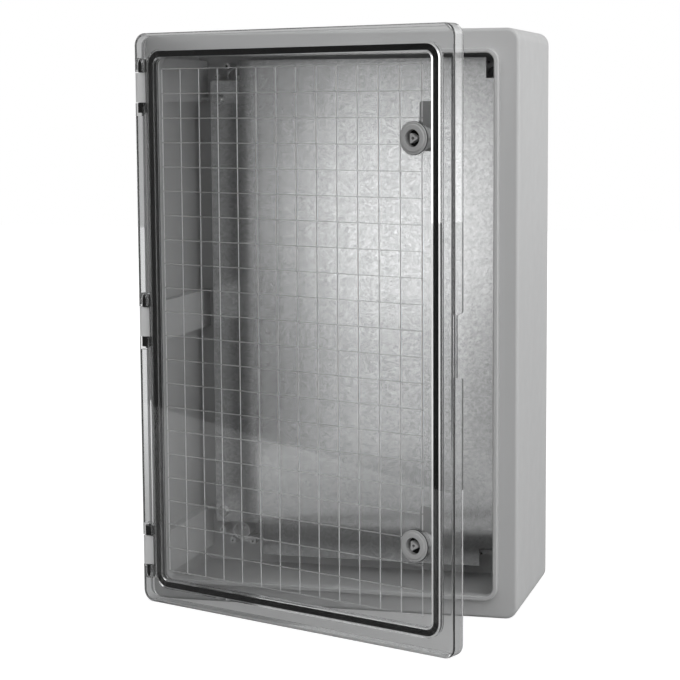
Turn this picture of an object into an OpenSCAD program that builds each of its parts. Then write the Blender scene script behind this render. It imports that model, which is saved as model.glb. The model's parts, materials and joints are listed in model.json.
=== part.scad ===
// Wall enclosure with a clear hinged door, a rebated seal and two quarter-turn locks.
// The wall plane is y = 0, the door faces -Y, the door's hinges are on the -X side, and Z is up.

/* [Enclosure] */
// Outer width of the body
width = 400; // [320:10:600]
// Outer height of the body
height = 600; // [460:10:800]
// Depth from the wall face to the front face of the rim
body_depth = 182.5; // [120:0.5:260]
// Thickness of the side walls
wall = 3.5; // [2.5:0.5:4.5]
// Thickness of the back wall
back_wall = 4; // [3:0.5:6]
// Radius of the four upright corners
corner_r = 13; // [10:1:18]
// Radius between the back face and the sides
back_edge_r = 6; // [3:0.5:9]
// Radius between the rim and the sides
rim_edge_r = 3.5; // [1:0.5:4.5]
// Thickness of the rim round the opening
rim_t = 3; // [2:0.5:4]

/* [Seal] */
// Distance from the outer side to the middle of the seal
seal_inset = 22; // [21:0.5:26]
// Corner radius of the middle line of the seal
seal_corner_r = 11.5; // [9:0.5:16]
// Width of the lip that presses into the gasket
lip_w = 5; // [3:0.5:6]
// Height of the lip above the rim
lip_h = 8; // [6:0.5:9]
// Width of the gasket
gasket_w = 6; // [5:0.5:7]
// Thickness of the two ribs that hold the gasket
gasket_rib_t = 2; // [1.5:0.25:2.5]
// Gap between the closed lip and the gasket's face
gasket_gap = 0.3; // [0.2:0.1:0.6]

/* [Door] */
// Angle that the door stands open
door_angle = 22; // [0:1:90]
// Gap between the closed door's skirt and the rim
door_gap = 1.5; // [1.4:0.1:2.5]
// Depth of the door from its skirt's edge to its front face
door_depth = 16; // [14:0.5:20]
// Thickness of the clear pane
pane_t = 3.5; // [2.5:0.5:4.5]
// Thickness of the door's skirt
skirt_t = 3; // [2:0.5:4]
// Radius between the door's front face and its sides
door_edge_r = 3; // [2:0.5:5]
// How far the door's sides stay inside the body's sides
door_inset = 0.4; // [0.2:0.1:1]

/* [Cut-out grid] */
// Spacing of the raised lines on the inside of the pane
grid_pitch = 25; // [20:5:50]
// Width of a raised line
grid_line_w = 1; // [0.8:0.1:1.5]
// Height of a raised line
grid_line_h = 0.4; // [0.3:0.1:0.8]

/* [Finger notch] */
// Length of the notch in the edge of the skirt
notch_len = 59; // [40:1:90]
// Depth of the notch
notch_depth = 9.5; // [6:0.5:10]

/* [Hinges] */
// Distance from the end of the body to the middle of the end hinges
hinge_end = 56; // [50:1:80]
// Distance from the body's side to the pin's axis
pin_inset = 5; // [5:0.25:5.5]
// Distance from the door's front face to the pin's axis
pin_setback = 6; // [5.5:0.25:6]
// Radius of the hinge pin
pin_r = 2.6; // [2:0.1:2.7]
// Length of the knuckle on each hinge block
knuckle_len = 30.7; // [24:0.1:36]
// Width of each hinge block
block_w = 12; // [11.5:0.5:13]
// Length of the pin's nose beyond the knuckle
nose_len = 13.6; // [11:0.1:15]
// Length of the pin's head beyond the knuckle
head_len = 10.6; // [8:0.1:12]
// Thickness of the foot that holds the block in the body
foot_t = 7; // [6:0.5:7]
// Height of the foot
foot_h = 18; // [16:1:24]
// Depth of the foot
foot_depth = 14; // [10:1:20]

/* [Locks] */
// Distance from the body's side to a lock's axis
lock_inset = 44.4; // [42:0.1:50]
// Distance from the body's end to a lock's axis
lock_end = 106.4; // [90:0.1:140]
// Radius of the raised face of the lock's bezel
bezel_r = 13.2; // [12.5:0.1:13.6]
// Radius of the lock's barrel
barrel_r = 10.9; // [10:0.1:11]
// Radius of the turning core
core_r = 8.2; // [7.5:0.1:8.5]
// Side of the triangular drive
drive_side = 11; // [9:0.5:12]
// Reach of the cam from the lock's axis to its tip
cam_reach = 34.5; // [32:0.5:36]
// Length of the cam's tail behind the axis
cam_tail = 12.5; // [8:0.5:14]
// Width of the cam
cam_w = 16; // [11:0.5:18]
// Thickness of the cam
cam_t = 3; // [2:0.5:4]

/* [Mounting plate] */
// Distance from the wall face to the back of the plate
plate_standoff = 35; // [25:1:50]
// Thickness of the plate
plate_t = 2; // [1.5:0.5:3]
// Distance from the body's side to the plate's edge
plate_margin_side = 28; // [25:1:31]
// Distance from the body's top to the plate's edge
plate_margin_top = 25.5; // [22:0.5:30]
// Distance from the body's bottom to the plate's edge
plate_margin_bottom = 19.5; // [18:0.5:30]
// Width of the upper corner notches
top_notch_w = 34; // [28:1:42]
// Height of the upper corner notches
top_notch_h = 22; // [18:0.5:26]
// Width of the lower right corner notch
bottom_notch_w = 40.5; // [32:0.5:46]
// Height of the lower right corner notch
bottom_notch_h = 19; // [14:0.5:26]
// Width of the lower left corner notch, which clears a wall-fixing ring
wide_notch_w = 56; // [40:1:60]
// Height of the lower left corner notch
wide_notch_h = 36; // [19:1:38]
// Distance from the body's side to the plate's screws
post_inset_x = 37; // [33:0.5:45]
// Distance from the body's end to the plate's screws
post_inset_z = 67.5; // [60:0.5:90]
// Radius of the posts under the plate
post_r = 7; // [6.5:0.5:9]

/* [Wall fixing] */
// Distance from the body's side to a wall-fixing hole
fixing_inset_x = 54.5; // [50:0.5:60]
// Distance from the body's end to a wall-fixing hole
fixing_inset_z = 43.5; // [42:0.5:50]
// Radius of a wall-fixing hole
fixing_hole_r = 2.75; // [2.25:0.25:4]
// Outer radius of the ring round a wall-fixing hole
fixing_ring_r = 10; // [8:0.5:10]

/* [Hidden] */

$fn = 64;
small_fn = 32;    // roundness of knobs, inserts and screws
through = 1;      // how far a cutter passes a face
seat_gap = 0.1;   // gap between a foot and its pocket
fit_gap = 0.06;   // radial gap of pins, screws and turning cores

grey_body = "#c3c5c5";
grey_block = "#d6d8d7";
clear_door = [0.80, 0.84, 0.85, 0.35];
black_rubber = "#17181a";
black_plastic = "#202124";
grey_lock = "#9b9d9c";
zinc_steel = "#b9bcbd";
brass_insert = "#b99a52";
steel_screw = "#a9acad";

// Depths are measured from the wall face, forwards
rim_back = body_depth - rim_t;
rim_round = min(rim_edge_r, wall);   // keeps the rounding on the side walls
door_back = body_depth + door_gap;
door_front = door_back + door_depth;
pane_back = door_front - pane_t;
lip_tip = body_depth + lip_h;
gasket_face = lip_tip + gasket_gap;

seal_w = width - 2 * seal_inset;
seal_h = height - 2 * seal_inset;
door_w = width - 2 * door_inset;
door_h = height - 2 * door_inset;
door_corner_r = corner_r - door_inset;
gasket_clear = 0.1;
rib_offset = gasket_w / 2 + gasket_clear + gasket_rib_t / 2;

// Cut-out grid inside the gasket's inner rib
window_margin = 8;
window_w = seal_w - 2 * (rib_offset + gasket_rib_t / 2) - window_margin;
window_h = seal_h - 2 * (rib_offset + gasket_rib_t / 2) - window_margin;
grid_cols = floor(window_w / grid_pitch);
grid_rows = floor(window_h / grid_pitch);
gate_r = 4;       // ring left by the moulding gate in the middle of the pane
gate_line = 0.8;

// Hinges
pin_x = -width / 2 + pin_inset;
pin_depth = door_front - pin_setback;
hinge_z = height / 2 - hinge_end;
hinge_heights = [hinge_z, 0, -hinge_z];
nose_sides = [1, 1, -1];           // the lower pin points down
knuckle_gap = 0.65;                // gap above and below each knuckle
notch_side_gap = 4.2;              // gap beside each knuckle
pin_boss_w = pin_inset + 8.8;
pin_boss_back = pin_depth - 5.2;
pin_boss_wall = 1.6;               // clear plastic past the pin's nose
pin_head_r = pin_r + 1.2;
pin_stub = 3;                      // round part of the pin past the knuckle
nose_shift = 3.4;                  // the nose stands this far towards the lock side of the axis
head_side = 7.2;                   // reach of the head towards the lock side
nose_cone = 4.2;
nose_tip_r = 0.7;
nose_recess = 0.5;                 // the nose's flat front lies this far behind the door's face
hinge_boss_ends = [[-14.5, 31], [-24, 18], [-35.5, 10.5]];   // from the middle of each hinge
hinge_boss_d = 10;
block_screw_r = 2;
block_screw_head_r = 4;
block_screw_head_t = 2.5;
foot_x = -width / 2 + block_w / 2 - foot_t / 2;
foot_screw_depth = body_depth - foot_depth / 2;

// Locks
lock_x = width / 2 - lock_inset;
lock_z = height / 2 - lock_end;
flange_r = bezel_r + 2.2;          // thin flange round the raised face
flange_t = 1.2;
flange_edge_r = 0.5;
lock_boss_r = flange_r + 1.2;
lock_boss_front = 1;
lock_boss_back = grid_line_h + 0.1;
seal_ring_t = 0.8;
bezel_back = door_front + lock_boss_front + seal_ring_t;
bezel_t = 2.4;
bezel_edge_r = 1.2;
bezel_front = bezel_back + bezel_t;
nut_t = 5;
nut_af = 24;
cam_gap = 0.3;                     // gap between the rim's back and the turned cam
cam_front = rim_back - cam_gap;
cam_back = cam_front - cam_t;
barrel_back = rim_back + 3.5;
shoulder_t = 3;
core_neck_r = core_r - 1.8;
core_face = door_front - 2.4;
drive_front = bezel_front - 0.8;
drive_hole_r = 1.6;
square_side = 7;
cam_screw_r = 2;
cam_screw_head_r = 4.6;
cam_screw_head_t = 2.6;
cam_screw_len = 10;

// Mounting plate and its posts
plate_front = plate_standoff + plate_t;
plate_w = width - 2 * plate_margin_side;
plate_top = height / 2 - plate_margin_top;
plate_bottom = -height / 2 + plate_margin_bottom;
post_x = width / 2 - post_inset_x;
post_z = height / 2 - post_inset_z;
post_places = [for (x = [-post_x, post_x], z = [-post_z, post_z]) [x, z]];
insert_r = 4.3;
insert_len = 10;
screw_room = 4;                    // room for the screw's end below the insert
plate_screw_r = 3;
plate_screw_len = 12;
plate_screw_head_r = 5.6;
plate_screw_head_t = 3.4;
plate_hole_r = 3.4;
washer_r = 6.4;
washer_t = 1.6;
rib_t = 2.5;
rib_drop = 10;                     // posts' ribs stop this far below the plate

// Wall fixing rings and the small knobs beside them
fixing_x = width / 2 - fixing_inset_x;
fixing_z = height / 2 - fixing_inset_z;
ring_drop = 7;                     // rings and knobs end this far behind the plate
fixing_ring_h = plate_standoff - back_wall - ring_drop;
fixing_bore_r = fixing_ring_r - 1.5;
fixing_seat_h = fixing_ring_h / 2; // thickening round the hole, inside the ring
knob_r = 4;
knob_h = fixing_ring_h;
knob_hole_r = 1.5;
knob_hole_depth = 8;
knob_places = [[32, 43], [44, 31.5], [68, 31.5]];   // from the body's corner
link_t = 6;                        // web between the last knob and the ring
link_rise = 2.5;                   // height of the web's middle above the knob's
link_drop = 0.5;                     // how far the web ends behind the knob's top
fixing_places = [for (x = [-fixing_x, fixing_x], z = [-fixing_z, fixing_z]) [x, z]];
all_knobs = [for (x = [-1, 1], z = [-1, 1], k = knob_places)
             [x * (width / 2 - k[0]), z * (height / 2 - k[1])]];

// ---------- shared shapes ----------

// Turns a shape drawn as x = right, y = up, z = forwards into the part's own frame
module upright() {
  rotate([90, 0, 0]) children();
}

// Swings a shape drawn in the closed position to the door's rest angle
module on_door() {
  upright()
    translate([pin_x, 0, pin_depth])
      rotate([0, -door_angle, 0])
        translate([-pin_x, 0, -pin_depth]) children();
}

module rounded_rect(w, h, r) {
  square([w - 2 * r, h], center = true);
  square([w, h - 2 * r], center = true);
  for (x = [-1, 1], y = [-1, 1])
    translate([x * (w / 2 - r), y * (h / 2 - r)]) circle(r);
}

// Carries a section round a rounded rectangle: x is outwards from the line, y is forwards
module around(w, h, r) {
  for (turn = [0, 180]) {
    rotate([0, 0, turn]) rotate([90, 0, 0])
      linear_extrude(h - 2 * r, center = true) translate([w / 2, 0]) children();
    rotate([0, 0, turn + 90]) rotate([90, 0, 0])
      linear_extrude(w - 2 * r, center = true) translate([h / 2, 0]) children();
  }
  for (corner = [[1, 1, 0], [-1, 1, 90], [-1, -1, 180], [1, -1, 270]])
    translate([corner[0] * (w / 2 - r), corner[1] * (h / 2 - r), 0])
      rotate([0, 0, corner[2]]) rotate_extrude(angle = 90) translate([r, 0]) children();
}

// A layer of height e whose outer front edge is rounded by e
module rounded_layer(w, h, r, e) {
  linear_extrude(e) rounded_rect(w - 2 * e, h - 2 * e, r - e);
  around(w - 2 * e, h - 2 * e, r - e)
    intersection() {
      circle(e);
      square(e);
    }
}

module slab(w, h, r, from, to) {
  translate([0, 0, from]) linear_extrude(to - from) rounded_rect(w, h, r);
}

module box(x0, x1, y0, y1, z0, z1) {
  translate([x0, y0, z0]) cube([x1 - x0, y1 - y0, z1 - z0]);
}

// A round bar along the height, between two heights
module upright_bar(r, y0, y1) {
  translate([0, y1, 0]) rotate([90, 0, 0]) cylinder(r = r, h = y1 - y0);
}

module at_places(places) {
  for (place = places) translate([place[0], place[1], 0]) children();
}

// ---------- body ----------

module body_outside() {
  slab(width, height, corner_r, back_edge_r, body_depth - rim_round);
  translate([0, 0, body_depth - rim_round])
    rounded_layer(width, height, corner_r, rim_round);
  translate([0, 0, back_edge_r]) mirror([0, 0, 1])
    rounded_layer(width, height, corner_r, back_edge_r);
}

// The space between the side walls, between two depths
module between_walls(from, to) {
  slab(width - 2 * wall, height - 2 * wall, corner_r - wall, from, to);
}

module lip() {
  chamfer = 1;
  translate([0, 0, body_depth])
    around(seal_w, seal_h, seal_corner_r)
      polygon([[-lip_w / 2, -rim_t], [lip_w / 2, -rim_t], [lip_w / 2, lip_h - chamfer],
               [lip_w / 2 - chamfer, lip_h], [-lip_w / 2 + chamfer, lip_h],
               [-lip_w / 2, lip_h - chamfer]]);
}

module foot_pockets() {
  for (y = hinge_heights) {
    box(foot_x - seat_gap, foot_x + foot_t + seat_gap,
        y - foot_h / 2 - seat_gap, y + foot_h / 2 + seat_gap,
        body_depth - foot_depth - seat_gap, body_depth + through);
    translate([foot_x, y, foot_screw_depth]) rotate([0, 90, 0])
      cylinder(r = block_screw_r + 0.2, h = block_w + hinge_boss_d, $fn = small_fn);
  }
}

module body_shell() {
  color(grey_body) upright() difference() {
    body_outside();
    between_walls(back_wall, body_depth + through);
    foot_pockets();
    at_places(fixing_places) translate([0, 0, -through])
      cylinder(r = fixing_hole_r, h = back_wall + 2 * through);
  }
}

// The ledge round the opening, moulded to the side walls, with the lip that meets the gasket
module body_rim() {
  color(grey_body) upright() difference() {
    union() {
      difference() {
        between_walls(rim_back, body_depth);
        slab(seal_w - lip_w, seal_h - lip_w, seal_corner_r - lip_w / 2,
             rim_back - through, body_depth + through);
      }
      lip();
    }
    foot_pockets();
  }
}

module hinge_bosses() {
  color(grey_body) upright() difference() {
    for (i = [0 : 2])
      box(-width / 2 + wall, -width / 2 + wall + hinge_boss_d,
          hinge_heights[i] + hinge_boss_ends[i][0], hinge_heights[i] + hinge_boss_ends[i][1],
          back_wall, rim_back);
    foot_pockets();
  }
}

// A round post for each screw of the plate, with a rib to the side and a rib along it
module body_posts() {
  color(grey_body) upright() difference() {
    for (place = post_places) {
      rib_end = place[0] > 0 ? width / 2 - wall : -width / 2 + wall + hinge_boss_d;
      translate([place[0], place[1], back_wall]) cylinder(r = post_r, h = plate_standoff - back_wall);
      box(min(place[0], rib_end), max(place[0], rib_end),
          place[1] - rib_t / 2, place[1] + rib_t / 2, back_wall, plate_standoff - rib_drop);
      box(place[0] - rib_t / 2, place[0] + rib_t / 2, place[1] - 2 * post_r,
          place[1] + 2 * post_r, back_wall, plate_standoff - 2 * rib_drop);
    }
    at_places(post_places) {
      translate([0, 0, plate_standoff - insert_len - screw_room])
        cylinder(r = plate_screw_r + 0.3, h = insert_len, $fn = small_fn);
      translate([0, 0, plate_standoff - insert_len])
        cylinder(r = insert_r + fit_gap, h = insert_len + through);
    }
  }
}

module fixing_rings() {
  color(grey_body) upright() at_places(fixing_places) translate([0, 0, back_wall])
    difference() {
      cylinder(r = fixing_ring_r, h = fixing_ring_h);
      translate([0, 0, fixing_seat_h]) cylinder(r = fixing_bore_r, h = fixing_ring_h);
      translate([0, 0, -through]) cylinder(r = fixing_hole_r, h = fixing_seat_h + 2 * through);
    }
}

// Three knobs at each corner. A web runs from the last one to the fixing ring
module corner_knobs() {
  link_end = width / 2 - knob_places[2][0];
  link_z = height / 2 - knob_places[2][1] - link_rise;
  color(grey_body) upright() translate([0, 0, back_wall])
    difference() {
      union() {
        at_places(all_knobs) cylinder(r = knob_r, h = knob_h, $fn = small_fn);
        for (x = [-1, 1], z = [-1, 1])
          box(min(x * fixing_x, x * link_end), max(x * fixing_x, x * link_end),
              z * link_z - link_t / 2, z * link_z + link_t / 2, 0, knob_h - link_drop);
      }
      at_places(fixing_places) translate([0, 0, -through])
        cylinder(r = fixing_ring_r + fit_gap, h = knob_h + 2 * through);
      at_places(all_knobs) translate([0, 0, knob_h - knob_hole_depth])
        cylinder(r = knob_hole_r, h = knob_hole_depth + through, $fn = small_fn);
    }
}

// ---------- mounting plate and its fasteners ----------

module plate_outline() {
  difference() {
    translate([-plate_w / 2, plate_bottom]) square([plate_w, plate_top - plate_bottom]);
    for (side = [-1, 1])
      translate([side * plate_w / 2, plate_top])
        square([2 * top_notch_w, 2 * top_notch_h], center = true);
    translate([plate_w / 2, plate_bottom])
      square([2 * bottom_notch_w, 2 * bottom_notch_h], center = true);
    translate([-plate_w / 2, plate_bottom])
      square([2 * wide_notch_w, 2 * wide_notch_h], center = true);
  }
}

module mounting_plate() {
  color(zinc_steel) upright()
    difference() {
      translate([0, 0, plate_standoff]) linear_extrude(plate_t) plate_outline();
      at_places(post_places) translate([0, 0, plate_standoff - through])
        cylinder(r = plate_hole_r, h = plate_t + 2 * through);
    }
}

module plate_inserts() {
  color(brass_insert) upright() at_places(post_places)
    translate([0, 0, plate_standoff - insert_len]) difference() {
      cylinder(r = insert_r, h = insert_len);
      translate([0, 0, -through])
        cylinder(r = plate_screw_r + fit_gap, h = insert_len + 2 * through, $fn = small_fn);
    }
}

module plate_washers() {
  color(zinc_steel) upright() at_places(post_places)
    translate([0, 0, plate_front]) difference() {
      cylinder(r = washer_r, h = washer_t);
      translate([0, 0, -through])
        cylinder(r = plate_screw_r + 0.2, h = washer_t + 2 * through, $fn = small_fn);
    }
}

// A pan-head screw with a cross recess; it points backwards from its seat at z = 0
module pan_screw(r, len, head_r, head_t) {
  difference() {
    union() {
      translate([0, 0, -len]) cylinder(r = r, h = len, $fn = small_fn);
      cylinder(r1 = head_r, r2 = head_r * 0.82, h = head_t);
    }
    for (turn = [0, 90]) rotate([0, 0, turn])
      translate([0, 0, head_t]) cube([head_r * 1.1, head_r * 0.24, head_t], center = true);
  }
}

module plate_screws() {
  color(steel_screw) upright() at_places(post_places)
    translate([0, 0, plate_front + washer_t])
      pan_screw(plate_screw_r, plate_screw_len, plate_screw_head_r, plate_screw_head_t);
}

// ---------- hinge blocks ----------

module block_section() {
  depth = door_front - body_depth;
  square([block_w, depth - door_edge_r]);
  translate([door_edge_r, 0]) square([block_w - door_edge_r, depth]);
  translate([door_edge_r, depth - door_edge_r]) circle(door_edge_r);
}

module hinge_block(y) {
  color(grey_block) upright() translate([0, y, 0])
    difference() {
      union() {
        translate([-width / 2, 0, body_depth]) rotate([90, 0, 0])
          linear_extrude(knuckle_len, center = true) block_section();
        box(foot_x, foot_x + foot_t, -foot_h / 2, foot_h / 2,
            body_depth - foot_depth, body_depth + through);
      }
      translate([pin_x, 0, pin_depth])
        upright_bar(pin_r + fit_gap, -knuckle_len / 2 - through, knuckle_len / 2 + through);
      translate([foot_x - through, 0, foot_screw_depth]) rotate([0, 90, 0])
        cylinder(r = block_screw_r + fit_gap, h = foot_t + 2 * through, $fn = small_fn);
    }
}

module hinge_block_upper() { hinge_block(hinge_heights[0]); }
module hinge_block_middle() { hinge_block(hinge_heights[1]); }
module hinge_block_lower() { hinge_block(hinge_heights[2]); }

module hinge_block_screws() {
  boss_face = -width / 2 + wall + hinge_boss_d;
  color(steel_screw) upright()
    for (y = hinge_heights)
      translate([boss_face, y, foot_screw_depth]) rotate([0, 90, 0])
        pan_screw(block_screw_r, boss_face - foot_x - 1, block_screw_head_r, block_screw_head_t);
}

// ---------- door ----------

module door_shell() {
  difference() {
    union() {
      slab(door_w, door_h, door_corner_r, door_back, door_front - door_edge_r);
      translate([0, 0, door_front - door_edge_r])
        rounded_layer(door_w, door_h, door_corner_r, door_edge_r);
    }
    slab(door_w - 2 * skirt_t, door_h - 2 * skirt_t, door_corner_r - skirt_t,
         door_back - through, pane_back);
  }
}

module gasket_ribs() {
  for (side = [-1, 1])
    translate([0, 0, gasket_face])
      around(seal_w, seal_h, seal_corner_r)
        translate([side * rib_offset - gasket_rib_t / 2, 0])
          square([gasket_rib_t, pane_back - gasket_face + pane_t / 2]);
}

module cut_out_grid() {
  grid_w = grid_cols * grid_pitch;
  grid_h = grid_rows * grid_pitch;
  bottom = pane_back - grid_line_h;
  top = pane_back + pane_t / 2;
  for (i = [0 : grid_cols])
    box(i * grid_pitch - grid_w / 2 - grid_line_w / 2, i * grid_pitch - grid_w / 2 + grid_line_w / 2,
        -grid_h / 2 - grid_line_w / 2, grid_h / 2 + grid_line_w / 2, bottom, top);
  for (j = [0 : grid_rows])
    box(-grid_w / 2 - grid_line_w / 2, grid_w / 2 + grid_line_w / 2,
        j * grid_pitch - grid_h / 2 - grid_line_w / 2, j * grid_pitch - grid_h / 2 + grid_line_w / 2,
        bottom, top);
}

module lock_places() {
  for (side = [-1, 1]) translate([lock_x, side * lock_z, 0]) children();
}

// Outline of a pin's nose, and of the slot it fills, from the front
module nose_outline(half, start, tip, tip_half) {
  polygon([[-half, start], [half, start], [half, tip - nose_cone], [tip_half, tip],
           [-tip_half, tip], [-half, tip - nose_cone]]);
}

// Hinge bosses of the door, with a slot for each pin's nose and one for its head
module pin_bosses() {
  start = knuckle_len / 2 + knuckle_gap;
  nose_end = knuckle_len / 2 + nose_len + pin_boss_wall;
  head_end = knuckle_len / 2 + head_len + pin_boss_wall;
  for (i = [0 : 2])
    translate([0, hinge_heights[i], 0]) {
      side = nose_sides[i];
      for (part = [[side, nose_end], [-side, head_end]])
        box(-door_w / 2 + skirt_t / 2, -width / 2 + pin_boss_w,
            min(part[0] * start, part[0] * part[1]), max(part[0] * start, part[0] * part[1]),
            pin_boss_back, pane_back + pane_t / 2);
    }
}

// The slots for the pins are open to the front
module pin_cuts() {
  start = knuckle_len / 2 + knuckle_gap;
  nose_half = pin_r + fit_gap;
  nose_end = knuckle_len / 2 + nose_len + 0.4;
  head_half = pin_head_r + 0.15;
  head_end = -knuckle_len / 2 - head_len - 2 * pin_boss_wall;
  for (i = [0 : 2])
    translate([0, hinge_heights[i], 0]) {
      box(-width / 2 - through, -width / 2 + block_w + notch_side_gap, -start, start,
          door_back - through, door_front + through);
      translate([pin_x, 0, pin_depth]) mirror([0, nose_sides[i] > 0 ? 0 : 1, 0]) {
        box(-nose_half, nose_half, 0, knuckle_len / 2 + pin_stub + fit_gap, -nose_half, nose_half);
        translate([nose_shift, 0, -nose_half]) linear_extrude(nose_half + pin_setback + through)
          nose_outline(nose_half, 0, nose_end, nose_tip_r + fit_gap);
        box(-head_half, head_side + 0.15, head_end, 0, -head_half, pin_setback + through);
      }
    }
}

// The notch in the skirt is a little wider at the skirt's edge
module finger_notch() {
  slope = 2;
  translate([door_w / 2 - skirt_t - through, 0, 0]) rotate([90, 0, 90])
    linear_extrude(skirt_t + 2 * through)
      polygon([[-notch_len / 2 - slope, door_back - through],
               [notch_len / 2 + slope, door_back - through],
               [notch_len / 2, door_back + notch_depth], [-notch_len / 2, door_back + notch_depth]]);
}

module gate_mark() {
  translate([0, 0, pane_back - grid_line_h]) difference() {
    cylinder(r = gate_r, h = grid_line_h + pane_t / 2);
    translate([0, 0, -through]) cylinder(r = gate_r - gate_line, h = grid_line_h + through);
  }
}

module door_panel() {
  color(clear_door) on_door()
    difference() {
      union() {
        door_shell();
        gasket_ribs();
        cut_out_grid();
        gate_mark();
        pin_bosses();
        lock_places() translate([0, 0, pane_back - lock_boss_back])
          cylinder(r = lock_boss_r, h = pane_t + lock_boss_back + lock_boss_front);
      }
      pin_cuts();
      finger_notch();
      lock_places() translate([0, 0, pane_back - through - lock_boss_back])
        cylinder(r = barrel_r + fit_gap, h = pane_t + lock_boss_back + lock_boss_front + 2 * through);
    }
}

module door_gasket() {
  crown = 1.5;
  thickness = pane_back - gasket_face;
  color(black_rubber) on_door()
    translate([0, 0, gasket_face]) around(seal_w, seal_h, seal_corner_r) {
      translate([-gasket_w / 2, crown]) square([gasket_w, thickness - crown]);
      translate([-gasket_w / 2 + crown, 0]) square([gasket_w - 2 * crown, crown]);
      for (side = [-1, 1]) translate([side * (gasket_w / 2 - crown), crown]) circle(crown, $fn = small_fn);
    }
}

module hinge_pin(i) {
  tip = knuckle_len / 2 + nose_len;
  head_top = -knuckle_len / 2 - 0.3;
  head_bottom = -knuckle_len / 2 - head_len;
  color(black_plastic) on_door() translate([pin_x, hinge_heights[i], pin_depth])
    mirror([0, nose_sides[i] > 0 ? 0 : 1, 0]) {
      upright_bar(pin_r, head_bottom, knuckle_len / 2 + pin_stub);
      translate([nose_shift, 0, -pin_r]) linear_extrude(pin_r + pin_setback - nose_recess)
        nose_outline(pin_r, knuckle_len / 2 + knuckle_gap, tip, nose_tip_r);
      box(0, head_side, head_bottom, head_top - knuckle_gap, -pin_r, pin_setback - nose_recess);
      difference() {
        upright_bar(pin_head_r, head_bottom, head_top);
        translate([0, (head_bottom + head_top) / 2, 0]) difference() {
          upright_bar(pin_head_r + through, -1.2, 1.2);
          upright_bar(pin_head_r - 0.8, -1.2 - through, 1.2 + through);
        }
      }
    }
}

module hinge_pin_upper() { hinge_pin(0); }
module hinge_pin_middle() { hinge_pin(1); }
module hinge_pin_lower() { hinge_pin(2); }

// ---------- locks ----------

module at_lock(side) {
  on_door() translate([lock_x, side * lock_z, 0]) children();
}

module lock_housing(side) {
  color(grey_lock) at_lock(side)
    difference() {
      union() {
        translate([0, 0, barrel_back]) cylinder(r = barrel_r, h = bezel_back - barrel_back + through);
        translate([0, 0, bezel_back]) rotate_extrude() {
          square([flange_r, flange_t - flange_edge_r]);
          square([flange_r - flange_edge_r, flange_t]);
          translate([flange_r - flange_edge_r, flange_t - flange_edge_r])
            circle(flange_edge_r, $fn = small_fn);
          square([bezel_r, bezel_t - bezel_edge_r]);
          square([bezel_r - bezel_edge_r, bezel_t]);
          translate([bezel_r - bezel_edge_r, bezel_t - bezel_edge_r]) circle(bezel_edge_r);
        }
      }
      translate([0, 0, barrel_back + shoulder_t])
        cylinder(r = core_r + fit_gap, h = bezel_front - barrel_back);
      translate([0, 0, barrel_back - through])
        cylinder(r = core_neck_r + fit_gap, h = shoulder_t + 2 * through);
    }
}

module lock_seal(side) {
  color(black_rubber) at_lock(side) translate([0, 0, bezel_back - seal_ring_t]) difference() {
    cylinder(r = flange_r + 0.4, h = seal_ring_t);
    translate([0, 0, -through]) cylinder(r = barrel_r + fit_gap, h = seal_ring_t + 2 * through);
  }
}

module lock_nut(side) {
  seat = pane_back - lock_boss_back;
  color(zinc_steel) at_lock(side) translate([0, 0, seat - nut_t]) difference() {
    cylinder(r = nut_af / 2 / cos(30), h = nut_t, $fn = 6);
    translate([0, 0, -through]) cylinder(r = barrel_r + fit_gap, h = nut_t + 2 * through);
  }
}

module lock_core(side) {
  color(black_plastic) at_lock(side)
    difference() {
      union() {
        translate([0, 0, barrel_back + shoulder_t + 0.1])
          cylinder(r = core_r, h = core_face - barrel_back - shoulder_t - 0.1);
        translate([0, 0, cam_front])
          cylinder(r = core_neck_r, h = barrel_back + shoulder_t - cam_front + through);
        translate([-square_side / 2, -square_side / 2, cam_back + 0.2])
          cube([square_side, square_side, cam_t + through]);
      }
      translate([0, 0, cam_back - through])
        cylinder(r = cam_screw_r + fit_gap, h = cam_screw_len + 2 * through, $fn = small_fn);
    }
}

// The drive's corners are rounded; one corner points to +X while the lock is open
module drive_outline() {
  corner = 1.2;
  reach = drive_side / sqrt(3) - 2 * corner;
  for (turn = [0, 120, 240]) rotate([0, 0, turn]) translate([reach, 0]) circle(corner);
  polygon([for (turn = [0, 120, 240], side = [-60, 60])
           [reach * cos(turn) + corner * cos(turn + side), reach * sin(turn) + corner * sin(turn + side)]]);
}

module lock_drive(side) {
  color(grey_lock) at_lock(side) translate([0, 0, core_face]) difference() {
    linear_extrude(drive_front - core_face) drive_outline();
    translate([0, 0, 1]) cylinder(r = drive_hole_r, h = drive_front - core_face, $fn = small_fn);
  }
}

module lock_cam(side) {
  end_r = 3;
  color(grey_lock) at_lock(side) translate([0, 0, cam_back]) difference() {
    linear_extrude(cam_t) union() {
      translate([-cam_w / 2, -cam_tail]) square([cam_w, cam_tail + cam_reach - end_r]);
      translate([-cam_w / 2 + end_r, 0]) square([cam_w - 2 * end_r, cam_reach]);
      for (x = [-1, 1]) translate([x * (cam_w / 2 - end_r), cam_reach - end_r]) circle(end_r);
    }
    translate([-square_side / 2 - fit_gap, -square_side / 2 - fit_gap, -through])
      cube([square_side + 2 * fit_gap, square_side + 2 * fit_gap, cam_t + 2 * through]);
  }
}

module lock_cam_screw(side) {
  color(steel_screw) at_lock(side) translate([0, 0, cam_back]) mirror([0, 0, 1])
    pan_screw(cam_screw_r, cam_screw_len, cam_screw_head_r, cam_screw_head_t);
}

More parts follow.
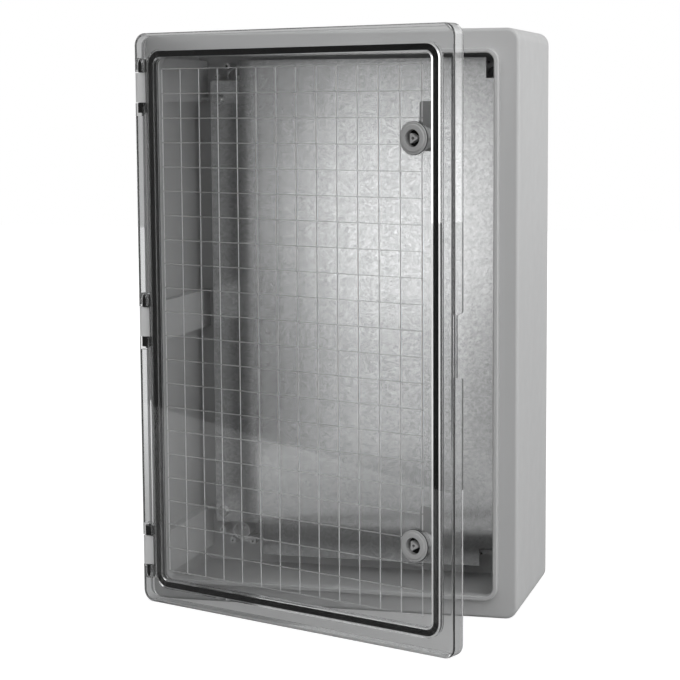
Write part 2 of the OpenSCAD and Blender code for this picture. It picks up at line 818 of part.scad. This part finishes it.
module lock_upper_housing() { lock_housing(1); }
module lock_upper_seal() { lock_seal(1); }
module lock_upper_nut() { lock_nut(1); }
module lock_upper_core() { lock_core(1); }
module lock_upper_drive() { lock_drive(1); }
module lock_upper_cam() { lock_cam(1); }
module lock_upper_cam_screw() { lock_cam_screw(1); }
module lock_lower_housing() { lock_housing(-1); }
module lock_lower_seal() { lock_seal(-1); }
module lock_lower_nut() { lock_nut(-1); }
module lock_lower_core() { lock_core(-1); }
module lock_lower_drive() { lock_drive(-1); }
module lock_lower_cam() { lock_cam(-1); }
module lock_lower_cam_screw() { lock_cam_screw(-1); }

body_shell();
body_rim();
body_posts();
fixing_rings();
corner_knobs();
hinge_bosses();
mounting_plate();
plate_inserts();
plate_washers();
plate_screws();
hinge_block_upper();
hinge_block_middle();
hinge_block_lower();
hinge_block_screws();
door_panel();
door_gasket();
hinge_pin_upper();
hinge_pin_middle();
hinge_pin_lower();
lock_upper_housing();
lock_upper_seal();
lock_upper_nut();
lock_upper_core();
lock_upper_drive();
lock_upper_cam();
lock_upper_cam_screw();
lock_lower_housing();
lock_lower_seal();
lock_lower_nut();
lock_lower_core();
lock_lower_drive();
lock_lower_cam();
lock_lower_cam_screw();
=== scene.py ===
"""Looks, light and camera for the wall enclosure with a clear hinged door.

Lengths are in metres in the part's own frame: the wall face is y = 0, the door faces -Y and +Z is up.
"""
import json
import math

import bpy
from mathutils import Matrix, Vector


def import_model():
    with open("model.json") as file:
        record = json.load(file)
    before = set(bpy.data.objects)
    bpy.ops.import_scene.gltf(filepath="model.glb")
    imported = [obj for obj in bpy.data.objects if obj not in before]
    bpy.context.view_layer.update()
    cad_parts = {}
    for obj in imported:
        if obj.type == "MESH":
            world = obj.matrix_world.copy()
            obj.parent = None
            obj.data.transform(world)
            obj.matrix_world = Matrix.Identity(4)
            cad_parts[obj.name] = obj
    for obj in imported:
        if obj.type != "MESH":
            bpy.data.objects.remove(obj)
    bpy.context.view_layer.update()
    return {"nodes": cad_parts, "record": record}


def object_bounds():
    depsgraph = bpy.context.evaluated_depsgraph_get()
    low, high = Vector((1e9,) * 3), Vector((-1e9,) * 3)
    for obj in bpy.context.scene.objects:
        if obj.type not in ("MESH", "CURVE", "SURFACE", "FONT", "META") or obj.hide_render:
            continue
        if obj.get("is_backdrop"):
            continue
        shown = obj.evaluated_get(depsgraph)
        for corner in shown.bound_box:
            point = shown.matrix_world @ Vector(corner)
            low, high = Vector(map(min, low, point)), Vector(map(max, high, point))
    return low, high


MM = 0.001

# Sizes repeated from the part's source
DOOR_ANGLE = 22.0
PIN_X = -195 * MM
PIN_DEPTH = 194 * MM
PANE_BACK = 196.5 * MM
GRID_PITCH = 25 * MM
GRID_HALF_W = 162.5 * MM
GRID_HALF_H = 262.5 * MM
GRID_LINE_W = 1.0 * MM
GRID_LINE_H = 0.4 * MM

# The frosted band on each raised line of the grid: its half-width, how far it passes the line's end, and the
# heights above the pane between which it lies
FROST_HALF_W = 0.55 * GRID_LINE_W
FROST_PAST_END = 0.6 * GRID_LINE_W
FROST_FROM = 0.02 * MM
FROST_TO = 1.2 * GRID_LINE_H
# How frosted the level lines are, where 1 is the frost of the upright ones: less, as painted shade
LEVEL_FROST_PAINTED_SHADE = 0.50

# Most of a noise texture's values lie between these two
NOISE_SPAN = (0.3, 0.7)
# Greys lean very slightly to green and blue
GREY_TINT = (1.0, 1.004, 1.006)

# The floor's colour, and the glow that makes it white to the camera
FLOOR_GREY = 0.36
FLOOR_GLOW = 0.85
# How much of the glow shows in reflections
FLOOR_MIRRORED = 0.05
# How much of it shows through clear plastic, near the origin and far from it
FLOOR_THROUGH_CLEAR = (0.17, 0.60)
# The distances from the origin at which near ends and far begins
FLOOR_FADE = (0.55, 1.3)
# The floor reaches far to the sides and the back, and ends in front before it would hide the tall soft box
FLOOR_REACH = 6.0
FLOOR_FRONT = -0.8

# The even level of the studio's light
EVEN_LIGHT = 0.10
# Its soft boxes: direction, inner and outer half-angle in degrees, strength
SOFT_BOXES = [
    # One tall narrow box in four steps, which the mounting plate mirrors
    ((-0.230, -0.975, 0.02), 1, 5, 0.40),
    ((-0.231, -0.972, -0.05), 1, 4.5, 1.95),
    ((-0.234, -0.967, -0.11), 1, 4, 0.95),
    ((-0.234, -0.958, -0.18), 1, 4, 0.95),
    # Front and top
    ((-0.10, -0.80, 0.70), 15, 40, 1.7),
    ((0.10, -0.10, 1.00), 20, 60, 0.4),
    # Right side
    ((1.00, 0.20, 0.10), 25, 60, 1.35),
    ((0.75, 0.65, -0.10), 12, 35, 0.4),
    ((0.80, -0.60, 0.10), 20, 45, 1.5),
    # Left side
    ((-1.00, 0.10, 0.30), 20, 50, 0.25),
    ((-0.90, 0.45, 0.10), 15, 35, 0.8),
    # The backdrop, seen light grey through the clear door
    ((0.0, 1.0, 0.0), 60, 85, 0.56),
]

# Where the camera stands, its angles in degrees, and its sensor's width and focal length in millimetres
CAMERA_PLACE = (0.5485, -2.1394, 0.2245)
CAMERA_YAW = 15.28
CAMERA_PITCH = 6.76
CAMERA_ROLL = -0.364
CAMERA_SENSOR = 36
CAMERA_LENS = 104.83

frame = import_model()
nodes = frame["nodes"]


# ---------- node helpers ----------

def grey(value):
    return tuple(value * tint for tint in GREY_TINT)


class ShaderTree:
    """The node tree of a material or a world, with short calls for the nodes used here."""

    def __init__(self, owner):
        owner.use_nodes = True
        self.tree = owner.node_tree
        self.tree.nodes.clear()

    def add(self, kind, inputs=None, **settings):
        """Add a node. Each input, given by its name or number, is linked to a socket or set to a value."""
        node = self.tree.nodes.new(kind)
        for key, value in settings.items():
            setattr(node, key, value)
        for key, value in (inputs or {}).items():
            if isinstance(value, bpy.types.NodeSocket):
                self.tree.links.new(value, node.inputs[key])
            else:
                node.inputs[key].default_value = value
        return node

    def position(self):
        return self.add("ShaderNodeTexCoord").outputs["Object"]

    def scaled(self, vector, scale):
        return self.add("ShaderNodeMapping", {"Vector": vector, "Scale": scale}).outputs[0]

    def noise(self, vector, scale, detail=3.0, roughness=0.5):
        inputs = {"Vector": vector, "Scale": scale, "Detail": detail, "Roughness": roughness}
        return self.add("ShaderNodeTexNoise", inputs).outputs["Fac"]

    def cells(self, vector, scale, output):
        return self.add("ShaderNodeTexVoronoi", {"Vector": vector, "Scale": scale}).outputs[output]

    def math(self, operation, *values, clamp=False):
        node = self.add("ShaderNodeMath", dict(enumerate(values)), operation=operation, use_clamp=clamp)
        return node.outputs[0]

    def ramp(self, value, span, to, **settings):
        """Map the span of the value to the range in to, and hold it at the ends."""
        inputs = {"Value": value, "From Min": span[0], "From Max": span[1], "To Min": to[0], "To Max": to[1]}
        return self.add("ShaderNodeMapRange", inputs, **settings).outputs["Result"]

    def colours(self, value, low, high):
        inputs = {"Factor": value, "A": (*low, 1), "B": (*high, 1)}
        return self.add("ShaderNodeMix", inputs, data_type="RGBA").outputs["Result"]

    def vary(self, noise, middle, spread):
        """A number that the noise moves round its middle value."""
        return self.ramp(noise, NOISE_SPAN, to=(middle - spread, middle + spread))

    def bump(self, height, strength, distance):
        inputs = {"Height": height, "Strength": strength, "Distance": distance}
        return self.add("ShaderNodeBump", inputs).outputs[0]


class Finish(ShaderTree):
    """The node tree of a new material."""

    def __init__(self, name):
        self.material = bpy.data.materials.new(name)
        super().__init__(self.material)

    def shade(self, inputs):
        """Close the tree with one principled shader, and return the material."""
        shader = self.add("ShaderNodeBsdfPrincipled", inputs)
        self.add("ShaderNodeOutputMaterial", {"Surface": shader.outputs[0]})
        return self.material


# ---------- materials ----------

def body_moulding():
    """Light grey moulded plastic: satin, with a fine grain and faint upright flow marks."""
    m = Finish("body_moulding")
    place = m.position()
    flow = m.noise(m.scaled(place, (5, 5, 1.2)), scale=3.0)
    gloss = m.noise(place, scale=45)
    grain = m.noise(place, scale=900, detail=4, roughness=0.65)
    return m.shade({
        "Base Color": m.colours(flow, grey(0.50), grey(0.56)),
        "Roughness": m.vary(gloss, middle=0.42, spread=0.06),
        "IOR": 1.58,
        "Normal": m.bump(grain, strength=0.10, distance=0.4 * MM),
    })


def door_coordinates(m):
    """The place on the door as if it were shut: x across, y = minus the depth from the wall, z up."""
    turn = m.add("ShaderNodeVectorRotate", {
        "Vector": m.position(),
        "Center": (PIN_X, -PIN_DEPTH, 0),
        "Angle": math.radians(DOOR_ANGLE),
    }, rotation_type="Z_AXIS")
    return m.add("ShaderNodeSeparateXYZ", {0: turn.outputs[0]}).outputs


def clear_moulding():
    """Clear polycarbonate. The raised cut-out lines are lightly frosted; the level lines less and the
    crossings not at all, as painted shade.
    """
    m = Finish("clear_moulding")
    x, y, z = door_coordinates(m)

    def near_line(value, half_size):
        """1 across a line's width. The ten pitches keep the value above zero and move no line."""
        from_edge = m.math("ADD", value, half_size + 10 * GRID_PITCH)
        return m.math("LESS_THAN", m.math("PINGPONG", from_edge, GRID_PITCH / 2), FROST_HALF_W)

    def inside(value, half_size):
        """1 along a line's length."""
        return m.math("LESS_THAN", m.math("ABSOLUTE", value), half_size + FROST_PAST_END)

    upright = m.math("MULTIPLY", near_line(x, GRID_HALF_W), inside(z, GRID_HALF_H))
    level = m.math("MULTIPLY", near_line(z, GRID_HALF_H), inside(x, GRID_HALF_W))
    # No frost where two lines cross: painted shade, where the crossing ridges catch no light
    crossing_painted_shade = m.math("MULTIPLY", upright, level)
    # The level lines are frosted less: painted shade for how the light falls on them
    lines = m.math("MAXIMUM", upright, m.math("MULTIPLY", level, LEVEL_FROST_PAINTED_SHADE))
    uncrossed = m.math("SUBTRACT", lines, crossing_painted_shade, clamp=True)
    rise = m.math("ADD", y, PANE_BACK)
    above = m.math("GREATER_THAN", rise, FROST_FROM)
    below = m.math("LESS_THAN", rise, FROST_TO)
    frost = m.math("MULTIPLY", uncrossed, m.math("MULTIPLY", above, below))
    return m.shade({
        "Base Color": (*grey(0.965), 1),
        "Roughness": 0.015,
        "IOR": 1.585,
        "Transmission Weight": m.math("SUBTRACT", 1.0, frost),
    })


def gasket_rubber():
    """Black foamed rubber with open pores."""
    m = Finish("gasket_rubber")
    place = m.position()
    pores = m.cells(place, scale=900, output="Distance")
    return m.shade({
        "Base Color": m.colours(m.noise(place, scale=60), grey(0.005), grey(0.009)),
        "Roughness": m.vary(m.noise(place, scale=300), middle=0.8, spread=0.1),
        "Specular IOR Level": 0.2,
        "Normal": m.bump(pores, strength=0.25, distance=0.4 * MM),
    })


def galvanised_sheet():
    """Galvanised steel: a soft spangle, with cells bent by slow waves, and a slightly uneven face."""
    m = Finish("galvanised_sheet")
    place = m.position()
    waves = m.add("ShaderNodeVectorMath", {0: m.noise(place, scale=25), "Scale": 20 * MM}, operation="SCALE")
    bent = m.add("ShaderNodeVectorMath", {0: place, 1: waves.outputs[0]}, operation="ADD")
    spangle = m.cells(bent.outputs[0], scale=400, output="Color")
    cell_tone, cell_gloss, _ = m.add("ShaderNodeSeparateColor", {0: spangle}).outputs
    return m.shade({
        "Base Color": m.colours(cell_tone, grey(0.57), grey(0.69)),
        "Metallic": 1.0,
        "Roughness": m.ramp(cell_gloss, span=(0, 1), to=(0.115, 0.145)),
        "Normal": m.bump(m.noise(place, scale=5, detail=1), strength=0.03, distance=6 * MM),
    })


def painted(name, low, high, roughness, grain, shine=0.5):
    """A plain coloured finish with a fine grain and slight wear in its gloss."""
    m = Finish(name)
    place = m.position()
    return m.shade({
        "Base Color": m.colours(m.noise(place, scale=120), low, high),
        "Roughness": m.vary(m.noise(place, scale=260), roughness, spread=0.06),
        "Specular IOR Level": shine,
        "Normal": m.bump(m.noise(place, scale=1400, detail=2), strength=grain, distance=0.2 * MM),
    })


def metal(name, low, high, roughness):
    """Bare metal with fine turning marks."""
    m = Finish(name)
    turned = m.noise(m.scaled(m.position(), (300, 300, 1800)), scale=1.0, detail=2)
    return m.shade({
        "Base Color": m.colours(turned, low, high),
        "Metallic": 1.0,
        "Roughness": m.vary(turned, roughness, spread=0.07),
        "Normal": m.bump(turned, strength=0.12, distance=0.2 * MM),
    })


FINISHES = {
    "body_moulding": body_moulding(),
    "clear_moulding": clear_moulding(),
    # The hinge bosses' finish: the body's moulding made lighter, as painted light
    "hinge_boss_painted_light_moulding": painted("hinge_boss_painted_light_moulding", grey(0.60), grey(0.66), roughness=0.42, grain=0.08),
    "gasket_rubber": gasket_rubber(),
    "galvanised_sheet": galvanised_sheet(),
    "hinge_block_plastic": painted("hinge_block_plastic", grey(0.62), grey(0.68), roughness=0.38, grain=0.10),
    "pin_plastic": painted("pin_plastic", grey(0.008), grey(0.013), roughness=0.30, grain=0.04, shine=0.35),
    "lock_core_plastic": painted("lock_core_plastic", grey(0.006), grey(0.010), roughness=0.60, grain=0.08,
                                 shine=0.2),
    "lock_metal": painted("lock_metal", grey(0.40), grey(0.47), roughness=0.38, grain=0.10),
    "screw_steel": metal("screw_steel", grey(0.48), grey(0.60), roughness=0.32),
    "insert_brass": metal("insert_brass", (0.60, 0.43, 0.18), (0.72, 0.54, 0.26), roughness=0.34),
}

for part in frame["record"]["subparts"]:
    # The bosses get a lighter copy of the body's moulding, as painted light for the light they catch from the
    # opening
    finish = "hinge_boss_painted_light_moulding" if part["node"] == "hinge_bosses" else part["material_slot"]
    materials = nodes[part["node"]].data.materials
    materials.clear()
    materials.append(FINISHES[finish])


# ---------- floor, light and camera ----------

def floor():
    """A plain floor that keeps the object's shadow: white to the camera, and grey through the clear door."""
    low_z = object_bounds()[0].z
    mesh = bpy.data.meshes.new("floor")
    outline = [(-FLOOR_REACH, FLOOR_FRONT), (FLOOR_REACH, FLOOR_FRONT),
               (FLOOR_REACH, FLOOR_REACH), (-FLOOR_REACH, FLOOR_REACH)]
    mesh.from_pydata([(x, y, low_z) for x, y in outline], [], [(0, 1, 2, 3)])
    floor_object = bpy.data.objects.new("floor", mesh)
    bpy.context.scene.collection.objects.link(floor_object)

    m = Finish("floor")
    path = m.add("ShaderNodeLightPath").outputs
    place = m.add("ShaderNodeNewGeometry").outputs["Position"]
    distance = m.add("ShaderNodeVectorMath", {0: place}, operation="LENGTH").outputs["Value"]
    through_clear = m.ramp(distance, FLOOR_FADE, to=FLOOR_THROUGH_CLEAR)
    level = m.math("MULTIPLY_ADD", path["Is Transmission Ray"], through_clear, path["Is Camera Ray"])
    level = m.math("MULTIPLY_ADD", path["Is Glossy Ray"], FLOOR_MIRRORED, level)
    matt = m.add("ShaderNodeBsdfDiffuse", {"Color": (*grey(FLOOR_GREY), 1)})
    glow = m.add("ShaderNodeEmission", {"Strength": m.math("MULTIPLY", level, FLOOR_GLOW)})
    both = m.add("ShaderNodeAddShader", {0: matt.outputs[0], 1: glow.outputs[0]})
    m.add("ShaderNodeOutputMaterial", {"Surface": both.outputs[0]})
    mesh.materials.append(m.material)
    floor_object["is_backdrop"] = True


def world():
    """Soft boxes round the object, and plain white to the camera."""
    studio = bpy.data.worlds.new("studio")
    bpy.context.scene.world = studio
    sky = ShaderTree(studio)
    direction = sky.add("ShaderNodeTexCoord").outputs["Generated"]

    def soft_box(aim, inner, outer, strength):
        """Light from round one direction, fading between two half-angles in degrees."""
        vectors = {0: direction, 1: Vector(aim).normalized()}
        nearness = sky.add("ShaderNodeVectorMath", vectors, operation="DOT_PRODUCT").outputs["Value"]
        edges = (math.cos(math.radians(outer)), math.cos(math.radians(inner)))
        return sky.ramp(nearness, edges, to=(0.0, strength), interpolation_type="SMOOTHSTEP")

    level = EVEN_LIGHT
    for box in SOFT_BOXES:
        level = sky.math("ADD", soft_box(*box), level)
    is_camera = sky.add("ShaderNodeLightPath").outputs["Is Camera Ray"]
    light = sky.add("ShaderNodeBackground", {"Strength": level})
    white = sky.add("ShaderNodeBackground", {"Color": (1, 1, 1, 1)})
    seen = sky.add("ShaderNodeMixShader", {"Fac": is_camera, 1: light.outputs[0], 2: white.outputs[0]})
    sky.add("ShaderNodeOutputWorld", {"Surface": seen.outputs[0]})


def camera():
    """The view of the photograph: from the front right, a little above the middle."""
    yaw, pitch, roll = (math.radians(angle) for angle in (CAMERA_YAW, CAMERA_PITCH, CAMERA_ROLL))
    ahead = Vector((-math.sin(yaw) * math.cos(pitch), math.cos(yaw) * math.cos(pitch), -math.sin(pitch)))
    right = Vector((math.cos(yaw), math.sin(yaw), 0))
    up = right.cross(ahead)
    tilted_right = math.cos(roll) * right + math.sin(roll) * up
    tilted_up = math.cos(roll) * up - math.sin(roll) * right
    data = bpy.data.cameras.new("camera")
    data.sensor_width = CAMERA_SENSOR
    data.lens = CAMERA_LENS
    camera_object = bpy.data.objects.new("camera", data)
    turn = Matrix((tilted_right, tilted_up, -ahead)).transposed()
    camera_object.matrix_world = Matrix.Translation(CAMERA_PLACE) @ turn.to_4x4()
    bpy.context.scene.collection.objects.link(camera_object)
    bpy.context.scene.camera = camera_object


floor()
world()
camera()
bpy.context.scene.view_settings.view_transform = "Standard"
